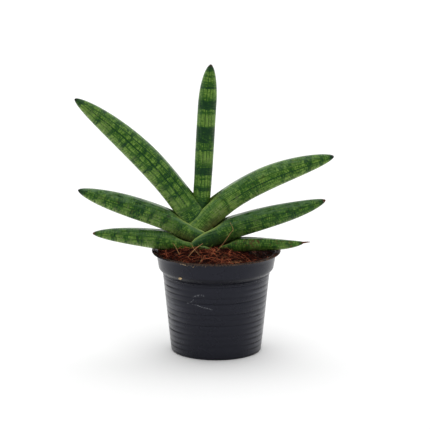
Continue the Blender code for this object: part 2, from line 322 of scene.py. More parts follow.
class PLANT_OT_stage(bpy.types.Operator):
    """Add the pale floor, the soft studio light and the camera"""

    bl_idname = "plant.stage"
    bl_label = "Stage"

    def execute(self, context):
        settings = context.scene.plant.stage
        deselect_all()
        bpy.ops.mesh.primitive_circle_add(vertices=64, radius=settings.floor_radius, fill_type="TRIFAN")
        floor = added("studio_floor")
        # Matt emulsion paint has next to no gloss, so the floor shows only its own tone.
        paint = {"Base Color": settings.floor, "Roughness": 0.9, "Specular IOR Level": 0.0}
        floor.data.materials.append(new_material("painted_floor", paint)[0])
        self.light_room(context.scene, settings)
        camera = new_object("camera", bpy.data.cameras.new("camera"))
        camera.location = CAMERA_PLACE
        camera.rotation_euler = (math.pi / 2 - CAMERA_PITCH, 0.0, 0.0)
        camera.data.lens = CAMERA_LENS
        camera.data.clip_end = CAMERA_REACH
        context.scene.camera = camera
        context.scene.view_settings.view_transform = "Standard"
        return {"FINISHED"}

    @staticmethod
    def light_room(scene, settings):
        """A white cove behind, dim behind the camera, and one broad soft light from above and in front."""
        scene.world = world = bpy.data.worlds.new("white_cove")
        world.use_nodes = True
        node = partial(add_node, world.node_tree)
        depth = node("SeparateXYZ", node("TexCoord"), output="Y")
        cove = where_all(node, (depth, -0.5, 0.8), settings.back_light - settings.front_light)
        strength = weigh(node, settings.front_light, (cove, 1.0))
        feed(world.node_tree.nodes["Background"], {"Color": (1.0, 1.0, 1.0, 1.0), "Strength": strength})
        light = new_object("overhead_softbox", bpy.data.lights.new("overhead_softbox", "SUN"))
        light.data.energy = settings.top_light
        light.data.angle = SOFTBOX_SPREAD
        light.rotation_euler = (SOFTBOX_PITCH, 0.0, 0.0)


# ---------------------------------------------------------------- pot

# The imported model's own sizes
POT_HEIGHT = 0.087
LIP_RADIUS = 0.055
LIP_THICKNESS = 0.001
COLLAR_HEIGHT = 0.0185
COLLAR_TOP_RADIUS = 0.0512
COLLAR_FOOT_RADIUS = 0.0490
COLLAR_SLANT = 0.0040
BODY_TOP_RADIUS = 0.0453
BODY_FOOT_RADIUS = 0.0384
SHOULDER_DROP = 0.0012
SHOULDER_HEIGHT = POT_HEIGHT - COLLAR_HEIGHT - SHOULDER_DROP
SLANT_HEIGHT = POT_HEIGHT - COLLAR_HEIGHT + COLLAR_SLANT
COLLAR_SLOPE = (COLLAR_TOP_RADIUS - COLLAR_FOOT_RADIUS) / (COLLAR_HEIGHT - COLLAR_SLANT)
POT_WALL = 0.001
POT_FLOOR = 0.0012
INSIDE_RADIUS = COLLAR_TOP_RADIUS - POT_WALL
RIB_COUNT = 11
RIB_PITCH = 0.0049
RIB_START_DROP = 0.0045
PAD_RADIUS = 0.021
GUTTER_WIDTH = 0.011
GUTTER_END = PAD_RADIUS + GUTTER_WIDTH
GUTTER_RISE = 0.003
GUTTER_SLOPE = 0.0015
DRAIN_HOLES = 8
DRAIN_RADIUS = 0.0035

POT_STEPS = 128
FOOT_HEIGHT = 0.0028
GROOVE_HALF_WIDTH = 0.0006
# How deep each groove is, as a share of the ribs' depth, from the shoulder down
GROOVE_SHARES = (1.0, 0.6, 0.9, 1.2, 0.7, 1.0, 0.8, 1.1, 0.6, 0.8, 0.5, 0.6)
GROOVE_SHAPE = ((-1.0, 0.0), (-0.5, 0.6), (0.0, 1.0), (0.5, 0.6), (1.0, 0.0))
# The flat pad in the middle of the underside, and the raised gutter round it
GUTTER = (
    (0.0, 0.0),
    (PAD_RADIUS, 0.0),
    (PAD_RADIUS + GUTTER_SLOPE, GUTTER_RISE),
    (GUTTER_END - GUTTER_SLOPE, GUTTER_RISE),
    (GUTTER_END, 0.0),
)
# The rounded foot and the raised ledge at the shoulder, as steps from the foot's and the shoulder's corners
FOOT_STEPS = ((-0.0010, 0.0), (-0.0003, 0.0003), (0.0002, 0.0010), (0.0003, 0.0018))
LEDGE_STEPS = ((-0.0001, -0.0008), (0.0004, -0.0002), (0.0003, 0.0005), (0.0001, 0.0010))


def body_radius(height):
    return mix(BODY_FOOT_RADIUS, BODY_TOP_RADIUS, height / SHOULDER_HEIGHT)


def pot_profile(rib_depth):
    """(radius, height) from the middle of the underside, up the outside and down to the inside's middle."""
    points = [*GUTTER, *((BODY_FOOT_RADIUS + out, up) for out, up in FOOT_STEPS)]
    points.append((body_radius(FOOT_HEIGHT), FOOT_HEIGHT))
    for rib in range(RIB_COUNT, -1, -1):
        middle = SHOULDER_HEIGHT - RIB_START_DROP - (rib - 0.5) * RIB_PITCH
        for offset, depth in GROOVE_SHAPE:
            height = middle + offset * GROOVE_HALF_WIDTH
            if height < SHOULDER_HEIGHT - 2 * GROOVE_HALF_WIDTH:
                points.append((body_radius(height) + rib_depth * (1 - depth * GROOVE_SHARES[rib]), height))
    points += [(BODY_TOP_RADIUS + out, SHOULDER_HEIGHT + up) for out, up in LEDGE_STEPS]
    points += [
        (mix(BODY_TOP_RADIUS, COLLAR_FOOT_RADIUS, 0.45), mix(SHOULDER_HEIGHT, SLANT_HEIGHT, 0.55)),
        (COLLAR_FOOT_RADIUS - 0.0005, SLANT_HEIGHT - 0.0008),
        (COLLAR_FOOT_RADIUS, SLANT_HEIGHT + 0.0003),
    ]
    under_lip = POT_HEIGHT - LIP_THICKNESS
    for share in (0.15, 0.4, 0.7, 0.93):
        radius = mix(COLLAR_FOOT_RADIUS, COLLAR_TOP_RADIUS, share)
        points.append((radius, mix(SLANT_HEIGHT, under_lip, share)))
    points += [
        (COLLAR_TOP_RADIUS + 0.0005, under_lip - 0.0002),
        (COLLAR_TOP_RADIUS + 0.0020, under_lip),
        (LIP_RADIUS - 0.0004, under_lip),
        (LIP_RADIUS, POT_HEIGHT - 0.7 * LIP_THICKNESS),
        (LIP_RADIUS, POT_HEIGHT - 0.3 * LIP_THICKNESS),
        (LIP_RADIUS - 0.0004, POT_HEIGHT),
        (COLLAR_TOP_RADIUS + 0.0008, POT_HEIGHT),
        (INSIDE_RADIUS, POT_HEIGHT - 0.0006),
        (COLLAR_FOOT_RADIUS - POT_WALL, SLANT_HEIGHT),
        (BODY_TOP_RADIUS - POT_WALL, SHOULDER_HEIGHT),
        (BODY_FOOT_RADIUS - POT_WALL, POT_FLOOR),
    ]
    return points + [(radius, height + POT_FLOOR) for radius, height in reversed(GUTTER)]


def spin_profile(name, points, steps):
    """Extrudes one vertex along the profile, spins it round Z and closes the seam and the poles."""
    deselect_all()
    bpy.ops.mesh.primitive_plane_add(size=0.001)
    obj = added(name)
    start_edit(obj, "SELECT")
    bpy.ops.mesh.merge(type="CENTER")
    bpy.ops.transform.translate(value=(points[0][0], 0.0, points[0][1]))
    for (radius, height), (next_radius, next_height) in zip(points, points[1:]):
        offset = (next_radius - radius, 0.0, next_height - height)
        bpy.ops.mesh.extrude_region_move(TRANSFORM_OT_translate={"value": offset})
    bpy.ops.mesh.select_all(action="SELECT")
    bpy.ops.mesh.spin(steps=steps, angle=2 * math.pi, center=(0, 0, 0), axis=(0, 0, 1))
    bpy.ops.mesh.select_all(action="SELECT")
    bpy.ops.mesh.remove_doubles(threshold=0.000001)
    bpy.ops.mesh.normals_make_consistent(inside=False)
    end_edit()
    return obj


def cut_drain_holes(pot):
    deselect_all()
    cutters = []
    for index in range(DRAIN_HOLES):
        angle = 2 * math.pi * (index + 0.5) / DRAIN_HOLES
        reach = PAD_RADIUS + GUTTER_WIDTH / 2
        place = (reach * math.cos(angle), reach * math.sin(angle), GUTTER_RISE)
        depth = 4 * GUTTER_RISE
        bpy.ops.mesh.primitive_cylinder_add(vertices=24, radius=DRAIN_RADIUS, depth=depth, location=place)
        cutters.append(added("drain_cutter"))
    cutter = join_pieces(cutters, "drain_cutter")
    apply_modifier(pot, "BOOLEAN", operation="DIFFERENCE", object=cutter, solver="EXACT")
    bpy.data.objects.remove(cutter)


LIP_SAG = 0.0009
# How far the lip's edge strays in and out, as a share of its radius
LIP_STRAY = 0.006


def lip_share(x, y):
    """0 on the collar and 1 at the lip's edge."""
    return ramp(math.hypot(x, y), COLLAR_TOP_RADIUS - 0.0005, LIP_RADIUS)


def lip_sag(x, y):
    """How far the lip hangs down at a place: most at its edge, at the back."""
    return LIP_SAG * ramp(y, 0.010, 0.040) * lip_share(x, y)


def wave_lip(pot, depth):
    """The thin flange isn't quite flat: it dips and rises most on the left, and sags at the back."""
    for vert in pot.data.vertices:
        x, y, z = vert.co
        on_lip = lip_share(x, y) * (z > POT_HEIGHT - 0.007)
        if on_lip > 0:
            place = Vector((x, y, 0.0))
            wave = noise.noise(place / 0.016) + 0.4 * noise.noise(place / 0.006)
            left = 0.5 + 0.9 * ramp(-x, 0.0, 0.035)
            vert.co.z += depth * wave * left * on_lip - lip_sag(x, y)
            vert.co.xy *= 1 + on_lip * LIP_STRAY * left * noise.noise(place / 0.012 + Vector((9, 0, 0)))


# Scratches on the front of the wall: where each starts and ends, as x and height, how far it bows up, and
# its strength
SCRATCHES = (
    ((-0.0250, 0.0492), (-0.0185, 0.0538), -0.0008, 0.7),
    ((-0.0205, 0.0548), (-0.0095, 0.0572), 0.0010, 0.8),
    ((-0.0215, 0.0500), (-0.0140, 0.0496), -0.0008, 0.6),
    ((-0.0185, 0.0492), (-0.0025, 0.0460), 0.0007, 1.0),
)
SCRATCH_HALF_WIDTH = 0.00045
SCRATCH_WANDER = 0.006


def scratch_mask(node, x, height, clouds):
    """A few bowed scratches that wander a little."""
    total = 0.0
    for (start, low), (end, high), bow_up, strength in SCRATCHES:
        reach = (end - start) / 2
        along = weigh(node, -(start + end) / 2 / reach, (x, 1 / reach))
        square = where_all(node, along, along)
        level = (low + high) / 2 + bow_up - 0.5 * SCRATCH_WANDER
        line = weigh(node, level, (along, (high - low) / 2), (square, -bow_up), (clouds, SCRATCH_WANDER))
        away = node("Math", weigh(node, height, (line, -1.0)), operation="ABSOLUTE")
        near = (away, 2.0 * SCRATCH_HALF_WIDTH, 0.3 * SCRATCH_HALF_WIDTH)
        total = node("Math", total, where_all(node, near, (square, 1.0, 0.5), strength), **MOST)
    return total


def black_polypropylene(settings):
    """Moulded black polypropylene: a satin, faintly blue skin, greyer where rubbed, with white scratches."""
    start = {"Specular Tint": settings.sheen, "IOR": 1.38}
    material, node, shader = new_material("moulded_black_polypropylene", start)
    place = node("TexCoord", output="Object")
    x, y, height = node("SeparateXYZ", place).node.outputs
    # Flow marks run round the wall about 1.3 mm apart, rubbed clouds are 15 mm across, and dust flecks 1 mm.
    streaks = node("TexNoise", node("Mapping", place, Scale=(12.0, 12.0, 750.0)), Scale=1.0, Detail=3.0)
    clouds = node("TexNoise", place, Scale=66.0, Detail=5.0)
    flecks = node("TexNoise", place, Scale=900.0, Detail=3.0)
    # Dust lies on the front of the lip, and grit breaks up the scratches.
    on_lip = where_all(node, (height, POT_HEIGHT - 0.0016, POT_HEIGHT - 0.0006))
    dusty = where_all(node, on_lip, (flecks, 0.42, 0.54), (x, -0.044, -0.034), (y, 0.010, -0.020))
    scratches = scratch_mask(node, x, height, clouds)
    scratched = where_all(node, scratches, (y, -0.02, -0.03), (flecks, 0.42, 0.62))
    colour = lay_over(
        node,
        settings.colour,
        ((clouds, 0.5, 0.8), 0.35, shade(settings.colour, 1.8)),
        (dusty, 0.85, settings.dust),
        (scratched, 0.32, settings.scuff),
    )
    # The lip is matt, but handling has cleaned its left end and polished that end's inner half.
    away = node("VectorMath", node("CombineXYZ", x, y), output="Value", operation="LENGTH")
    polished = where_all(node, (away, LIP_RADIUS - 0.0017, LIP_RADIUS - 0.0022), (x, -0.034, -0.044))
    matt = node("Math", where_all(node, on_lip, weigh(node, 0.9, (polished, -0.9))), dusty, **MOST)
    # So is the slant under the collar, which was never rubbed.
    over_slant = (height, SLANT_HEIGHT + 0.0006, SLANT_HEIGHT - 0.0006)
    slant = where_all(node, (height, SHOULDER_HEIGHT + 0.0010, SHOULDER_HEIGHT + 0.0018), over_slant, 0.35)
    matt = node("Math", matt, slant, **MOST)
    # Ribs are rubbed to a shine, and dull dirt fills their grooves. It shows where the wall turns away.
    first = SHOULDER_HEIGHT - RIB_START_DROP + 0.5 * RIB_PITCH
    count = weigh(node, -first / RIB_PITCH - 0.25, (height, 1 / RIB_PITCH), (streaks, 0.5))
    between = node("Math", count, 0.5, operation="PINGPONG")
    dirty = where_all(node, (between, 0.24, 0.10), (clouds, 0.24, 0.50))
    groove = weigh(node, -1.2, (dirty, 1.0), (streaks, 2.4))
    facing = node("LayerWeight", 0.5, output="Facing")
    ribbed = where_all(node, (height, SHOULDER_HEIGHT, SHOULDER_HEIGHT - 0.0010), (facing, 0.15, 0.60))
    gloss = weigh(node, 0.5, (ribbed, weigh(node, 0.38, (groove, -0.62))), (matt, -0.45))
    bump = node("Bump", Height=weigh(node, streaks, (clouds, 0.3)), Strength=0.45, Distance=0.0001)
    rough = weigh(node, 0.20, (clouds, 0.16), (dusty, 0.4))
    feed(shader, {"Base Color": colour, "Roughness": rough, "Specular IOR Level": gloss, "Normal": bump})
    return material


class PLANT_OT_pot(bpy.types.Operator):
    """Spin the nursery pot, cut its drain holes and finish it"""

    bl_idname = "plant.pot"
    bl_label = "Pot"

    def execute(self, context):
        settings = context.scene.plant.pot
        pot = spin_profile("nursery_pot", pot_profile(settings.rib_depth), POT_STEPS)
        cut_drain_holes(pot)
        wave_lip(pot, settings.lip_wave)
        finish_piece(pot, [black_polypropylene(settings)], ["pot"], math.radians(40))
        return {"FINISHED"}


# ---------------------------------------------------------------- coir

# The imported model's own sizes
CROWN_X = -0.0105
FIT_CLEARANCE = 0.0003
SOIL_BELOW_LIP = 0.0014
SOIL_TILT = 0.0034
MOUND_RISE = 0.0088
MOUND_RADIUS = 0.017
SOIL_ROUGHNESS = 0.0007
SOIL_GRAIN = 0.009

SOIL_RINGS = 40
# Hollows at the two ends of the bed, where the black wall shows: the middle of each, its reach and its depth
HOLLOWS = ((0.046, -0.006, 0.013, 0.0032), (-0.048, -0.004, 0.010, 0.0018))
# Clods that break up the top: how far across they are, how high, and a step that sets them apart
CLODS = ((0.0052, 0.0011, (0, 0, 0)), (0.0021, 0.0009, (4, 7, 0)))
CLOD_DROP = 0.0005
EDGE_DROP = 0.0028


def soil_height(x, y):
    """The coir's level top: a mound round the crown, lower towards +X."""
    away = math.hypot(x - CROWN_X, y)
    fall = smooth_step((away - MOUND_RADIUS) / (INSIDE_RADIUS - MOUND_RADIUS))
    level = POT_HEIGHT - SOIL_BELOW_LIP + MOUND_RISE * (1 - fall)
    grain = noise.noise(Vector((x, y, 0.0)) / SOIL_GRAIN)
    return level - SOIL_TILT * smooth_step(x / INSIDE_RADIUS) + SOIL_ROUGHNESS * grain


def hollow_depth(x, y):
    return sum(deep * math.exp(-((x - a) ** 2 + (y - b) ** 2) / reach**2) for a, b, reach, deep in HOLLOWS)


def coir_top(x, y, loose=1.0):
    """How high the coir stands, with this share of its clods."""
    place = Vector((x, y, 0.0))
    clods = sum(noise.noise(place / across + Vector(step)) * high for across, high, step in CLODS)
    sunk = 1 - ramp(math.hypot(x - CROWN_X, y), MOUND_RADIUS, INSIDE_RADIUS)
    return soil_height(x, y) + (clods - CLOD_DROP - EDGE_DROP * sunk) * loose - hollow_depth(x, y)


def coir_pith(settings):
    """Coir pith and chopped husk: matt, red-brown, near black where it is damp and shaded."""
    start = {"Roughness": 0.95, "IOR": 1.3, "Specular IOR Level": 0.2}
    material, node, shader = new_material("coir_pith", start)
    place = node("TexCoord", output="Object")
    # Grains are 1.5 mm across, and the damp patches 8 mm.
    grains = node("TexNoise", place, Scale=650.0, Detail=6.0)
    patches = node("TexNoise", place, Scale=120.0, Detail=3.0)
    dry = ((grains, 0.35, 0.7), (patches, 0.3, 0.65), settings.middle)
    husk = ((grains, 0.64, 0.76), shade(settings.light, 0.7))
    colour = lay_over(node, settings.dark, dry, husk)
    bump = node("Bump", Height=grains, Strength=0.9, Distance=0.0008)
    feed(shader, {"Base Color": colour, "Normal": bump})
    return material


def coir_fibre(name, colour, spread, damp=0.0):
    """A coconut-husk fibre: stiff, dry, dull, and unevenly stained along its length."""
    material, node, shader = new_material(name, {"Roughness": 0.72, "IOR": 1.4, "Specular IOR Level": 0.25})
    place = node("TexCoord", output="Object")
    # Stains are 3 mm long, and damp patches 9 mm across.
    stains = node("TexNoise", place, Scale=330.0, Detail=4.0)
    layers = [((stains, 0.3, 0.7), shade(colour, 1 + spread))]
    if damp:
        patches = node("TexNoise", place, Scale=110.0, Detail=2.0)
        layers.append(((patches, 0.44, 0.60), damp, shade(colour, 0.25)))
    feed(shader, {"Base Color": lay_over(node, shade(colour, 1 - spread), *layers)})
    return material


class PLANT_OT_coir_bed(bpy.types.Operator):
    """Spin the coir that fills the pot and raise its clods"""

    bl_idname = "plant.coir_bed"
    bl_label = "Coir bed"

    def execute(self, context):
        top = POT_HEIGHT - SOIL_BELOW_LIP
        side = FIT_CLEARANCE + POT_WALL
        floor = POT_FLOOR + GUTTER_RISE + FIT_CLEARANCE
        top_radius = COLLAR_TOP_RADIUS - side - COLLAR_SLOPE * SOIL_BELOW_LIP
        points = [(top_radius * ring / SOIL_RINGS, top) for ring in range(SOIL_RINGS + 1)]
        points += [
            (COLLAR_FOOT_RADIUS - side, SLANT_HEIGHT),
            (BODY_TOP_RADIUS - side, SHOULDER_HEIGHT),
            (BODY_FOOT_RADIUS - side, floor),
            (0.0, floor),
        ]
        bed = spin_profile("coir_bed", points, 120)
        start_edit(bed, "DESELECT")
        select_parts(bed, "FACE", lambda face: face.calc_center_median().z > top - MM)
        bpy.ops.mesh.subdivide(number_cuts=1)
        end_edit()
        for vert in bed.data.vertices:
            x, y, z = vert.co
            if z > top - 0.1 * MM:
                away = math.hypot(x, y)
                vert.co.z = coir_top(x, y, 1 - ramp(away, top_radius - 0.002, top_radius))
                if away > top_radius - 0.1 * MM:
                    vert.co.xy *= (top_radius - COLLAR_SLOPE * max(top - vert.co.z, 0.0)) / away
        material = coir_pith(context.scene.plant.coir)
        finish_piece(bed, [material], ["substrate"], math.radians(80))
        return {"FINISHED"}


# This share of the litter lies on the lip, smaller than the rest and mostly along it
LIP_LITTER = 0.08
LIP_LITTER_SIZE = 0.6
LIP_LITTER_TURN = 0.4
LITTER_PITCH = 0.16
SLOPE_REACH = 0.002
FIBRE_SHAPES = 7
FIBRE_STEPS = 6
FIBRE_LENGTH = 0.010
FIBRE_RADIUS = 0.00012
CRUMB_SHAPES = 5
# A painted pool of light: round this spot in front of the leaves, more of the litter takes the paler, dry
# finishes
PAINTED_LIGHT_PLACE = (0.010, -0.034)
PAINTED_LIGHT_REACH = (0.018, 0.015)
# The bare oval round the crown, and how much of the lip's litter is left out at the front and at the back
CROWN_OVAL = (0.016, 0.010)
LIP_BARE_FRONT = 0.3
LIP_BARE_BACK = 0.9


def bevelled_line(name, points, radii, material=None):
    """A mesh tube through the points, from a curve with a radius at each."""
    obj = new_path(name, points, radii)
    obj.data.bevel_depth = 1.0
    obj.data.bevel_resolution = 0
    obj.data.use_fill_caps = True
    make_active(obj)
    bpy.ops.object.convert(target="MESH")
    obj = bpy.context.active_object
    if material:
        obj.data.materials.append(material)
    return obj


def fibre_shape(index, draw):
    """One curly fibre, 10 mm long, lying along X with its middle at the origin."""
    bend = draw.uniform(-0.0016, 0.0016)
    kink = draw.uniform(-0.0009, 0.0009)
    points, radii = [], []
    for step in range(FIBRE_STEPS + 1):
        share = step / FIBRE_STEPS
        y = bend * math.sin(math.pi * share) + kink * math.sin(2.3 * math.pi * share)
        z = 0.0010 * math.sin(math.pi * share * draw.uniform(0.9, 1.1)) + draw.uniform(-1, 1) * 0.0003
        points.append(((share - 0.5) * FIBRE_LENGTH, y, z))
        radii.append(FIBRE_RADIUS * (0.45 + 0.75 * math.sin(math.pi * (0.1 + 0.8 * share))))
    return bevelled_line(f"fibre_shape_{index}", points, radii)


def crumb_shape(index, draw):
    """One crumb of pith, 2 mm across, with broken faces."""
    deselect_all()
    bpy.ops.mesh.primitive_ico_sphere_add(subdivisions=1, radius=0.001)
    crumb = added(f"crumb_shape_{index}")
    for vert in crumb.data.vertices:
        vert.co *= draw.uniform(0.6, 1.2)
        vert.co.z *= 0.7
        vert.co.x *= 1.3
    return crumb


def over_lip(x, y):
    return math.hypot(x, y) > INSIDE_RADIUS - 0.0006


def scattered_place(draw):
    """A random place on the coir or on the lip, but none in the crown."""
    while True:
        angle = draw.uniform(0, 2 * math.pi)
        away = (LIP_RADIUS - 0.0012) * math.sqrt(draw.random())
        if draw.random() < LIP_LITTER:
            angle = draw.choice((math.pi, 0.0)) + draw.gauss(0, 0.45)
            away = draw.uniform(INSIDE_RADIUS, LIP_RADIUS - 0.0006)
        x, y = away * math.cos(angle), away * math.sin(angle)
        on_lip = over_lip(x, y)
        spared = on_lip and draw.random() < (LIP_BARE_BACK if y > 0.015 else LIP_BARE_FRONT)
        if math.hypot((x - CROWN_X) / CROWN_OVAL[0], y / CROWN_OVAL[1]) > 1 and not spared:
            return x, y


def keep_inside(mesh, on_lip):
    """Presses what lies on the coir against the inside of the wall, and what lies on the lip flat on it."""
    for vert in mesh.vertices:
        x, y, z = vert.co
        away = math.hypot(x, y)
        if on_lip:
            over = ramp(z - POT_HEIGHT, 0.0, 0.0010) * 0.0005
            vert.co.xy *= min(1.0, (LIP_RADIUS - 0.0002) / away)
            vert.co.z = POT_HEIGHT + over - lip_sag(vert.co.x, vert.co.y)
        else:
            wall = INSIDE_RADIUS - COLLAR_SLOPE * max(POT_HEIGHT - z, 0.0) - 0.0003
            vert.co.xy *= min(1.0, wall / away)


def scatter(name, shapes, count, draw, sizes, lift, finishes, even):
    """Copies the shapes over the coir and joins them. finishes is each material and how common it is."""
    copies = []
    materials = [material for material, weight in finishes]
    for _ in range(count):
        x, y = scattered_place(draw)
        turn = draw.uniform(0, 2 * math.pi)
        size = draw.uniform(*sizes)
        thick = draw.uniform(0.7, 1.5)
        height = coir_top(x, y) + draw.uniform(*lift)
        on_lip = over_lip(x, y)
        if on_lip:
            height = POT_HEIGHT + 0.0002
            turn = math.atan2(y, x) + math.pi / 2 + draw.gauss(0, LIP_LITTER_TURN)
            size *= LIP_LITTER_SIZE
        slope_x = (soil_height(x + SLOPE_REACH, y) - soil_height(x - SLOPE_REACH, y)) / (2 * SLOPE_REACH)
        slope_y = (soil_height(x, y + SLOPE_REACH) - soil_height(x, y - SLOPE_REACH)) / (2 * SLOPE_REACH)
        normal = Vector((-slope_x, -slope_y, 1.0)).normalized()
        tilt = Vector((0, 0, 1)).rotation_difference(normal).to_matrix().to_4x4()
        matrix = Matrix.Translation((x, y, height)) @ tilt @ Matrix.Rotation(turn, 4, "Z")
        matrix = matrix @ Matrix.Rotation(draw.gauss(0, LITTER_PITCH), 4, "Y")
        matrix = matrix @ Matrix.Diagonal((size, size if even else thick, thick, 1.0))
        mesh = draw.choice(shapes).data.copy()
        mesh.transform(matrix)
        keep_inside(mesh, on_lip)
        # Painted light: the paler, dry finishes are more common round the lit spot, and the dark, damp ones
        # away from it.
        offsets = ((at - middle) / reach for at, middle, reach in zip((x, y), PAINTED_LIGHT_PLACE, PAINTED_LIGHT_REACH))
        painted_light = math.exp(-sum(offset**2 for offset in offsets))
        shares = [w * mix(1.1 - 0.2 * i, 0.6 + 0.7 * i, painted_light) for i, (_, w) in enumerate(finishes)]
        # Painted shade: the dark, damp finish is more common in the hollows, where shade falls.
        shares[0] += hollow_depth(x, y) / MM
        chosen = draw.choices(range(len(materials)), shares)[0]
        mesh.materials.clear()
        for material in materials:
            mesh.materials.append(material)
        mesh.polygons.foreach_set("material_index", [chosen] * len(mesh.polygons))
        copies.append(new_object(name, mesh))
    for shape in shapes:
        bpy.data.objects.remove(shape)
    finish_piece(join_pieces(copies, name), materials)


class PLANT_OT_coir_litter(bpy.types.Operator):
    """Scatter loose fibres and pith crumbs over the coir"""

    bl_idname = "plant.coir_litter"
    bl_label = "Coir litter"

    def execute(self, context):
        settings = context.scene.plant.coir
        draw = random.Random(11)
        damp = mix_colours(settings.dark, settings.middle, 0.35)
        finishes = (
            (coir_fibre("coir_fibre_damp", damp, 0.4, 0.7), 0.42),
            (coir_fibre("coir_fibre_brown", settings.middle, 0.45, 0.7), 0.30),
            (coir_fibre("coir_fibre_dry", settings.light, 0.35, 0.7), 0.25),
            (coir_fibre("coir_fibre_bleached", settings.straw, 0.25, 0.5), 0.03),
        )
        shapes = [fibre_shape(index, draw) for index in range(FIBRE_SHAPES)]
        lift = (-0.0004, 0.0007)
        scatter("coir_fibres", shapes, settings.fibres, draw, (0.45, 1.7), lift, finishes, even=False)
        finishes = (
            (coir_fibre("coir_crumb_damp", settings.dark, 0.5), 0.7),
            (coir_fibre("coir_crumb_dry", settings.middle, 0.4), 0.3),
        )
        shapes = [crumb_shape(index, draw) for index in range(CRUMB_SHAPES)]
        lift = (-0.0003, 0.0004)
        scatter("coir_crumbs", shapes, settings.crumbs, draw, (0.4, 1.1), lift, finishes, even=True)
        return {"FINISHED"}


# Dry crumbs stuck to the outside of the collar: the x, the height and the size of each, in tenths of a
# millimetre
STUCK_CRUMBS = (
    (-300, 718, 16.0), (-312, 853, 3.5), (-296, 850, 6.0), (-283, 850, 5.5), (-272, 848, 8.0),
    (-258, 845, 7.0), (-246, 851, 4.5), (-243, 840, 4.5), (-228, 850, 5.5), (-208, 846, 4.0),
    (-193, 834, 5.0), (-186, 838, 3.5), (-160, 850, 3.5), (-118, 851, 3.0), (-90, 845, 2.8),
)


class PLANT_OT_stuck_crumbs(bpy.types.Operator):
    """Stick a few dry crumbs to the outside of the collar"""

    bl_idname = "plant.stuck_crumbs"
    bl_label = "Stuck crumbs"

    def execute(self, context):
        draw = random.Random(5)
        crumbs = []
        for row in STUCK_CRUMBS:
            x, height, size = (value * 0.1 * MM for value in row)
            if height > SLANT_HEIGHT:
                share = (height - SLANT_HEIGHT) / (POT_HEIGHT - LIP_THICKNESS - SLANT_HEIGHT)
                radius = mix(COLLAR_FOOT_RADIUS, COLLAR_TOP_RADIUS, share)
            else:
                share = (height - SHOULDER_HEIGHT) / (SLANT_HEIGHT - SHOULDER_HEIGHT)
                radius = mix(BODY_TOP_RADIUS, COLLAR_FOOT_RADIUS, share)
            radius += 0.3 * size
            crumb = crumb_shape(len(crumbs), draw)
            subdivide_surface(crumb, 1)
            for vert in crumb.data.vertices:
                vert.co.z *= 1.3
                vert.co = vert.co * (size / MM) + Vector((x, -math.sqrt(radius**2 - x**2), height))
            crumbs.append(crumb)
        material = coir_fibre("coir_pith_dried_pale", context.scene.plant.coir.crumb, 0.3)
        finish_piece(join_pieces(crumbs, "coir_crumbs_on_collar"), [material])
        return {"FINISHED"}


# ---------------------------------------------------------------- leaves

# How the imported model's leaves are shaped
SHEATH_LENGTH = 0.048
HEEL_LENGTH = 0.014
HEEL_SHARE = 0.3
NOSE_POWER = 0.58
SHEATH_SQUARENESS = 3.2
LEAF_ROUNDNESS = 2.0
SPINE_STEPS = 120
LEAVES_OVER_LIP = ("leaf_lower_left", "leaf_lower_right")
LIP_CLEARANCE = 0.0009

LEAF_RINGS = 42
# The half outline of a leaf's section runs from the middle of its outer face, up the flank, over the margin
# and down into the channel of the sheath. These are how many points each stretch has.
FLANK_POINTS = 9
WALL_POINTS = 5
RIM_POINTS = 3
CHANNEL_POINTS = 8
RIM_START = FLANK_POINTS + WALL_POINTS
HALF_POINTS = RIM_START + RIM_POINTS + CHANNEL_POINTS
# Where each of those points stands on a round leaf: 0 is its outer middle and 1 its inner middle
AROUND = (
    *(0.5 * i / (FLANK_POINTS - 1) for i in range(FLANK_POINTS)),
    *(0.5 + 0.34 * (i + 1) / WALL_POINTS for i in range(WALL_POINTS)),
    *(0.86, 0.88, 0.90),
    *(0.90 + 0.10 * (i + 1) / CHANNEL_POINTS for i in range(CHANNEL_POINTS)),
)
# The margin leans in to this share of the half width, and its rim is rounded in these steps, as shares of
# its wall
MARGIN_LEAN = 0.93
RIM_INSETS = (0.05, 0.5, 0.95)
RIM_DROPS = (0.35, 0.0, 0.35)
# How thick the sheath is under its channel, as a share of half its thickness, at its very end and past it
CHANNEL_FLOORS = (0.75, 0.35)
CHANNEL_START = 0.008
CHANNEL_TURN = 0.3
# Past the channel, a shallow trace of it runs on along the leaf and fades
TRACE_DEPTH = 0.0011
TRACE_LENGTH = 0.045
# The leaf stops this far short of a point, so that its end can be closed
TIP_GAP = 0.00012
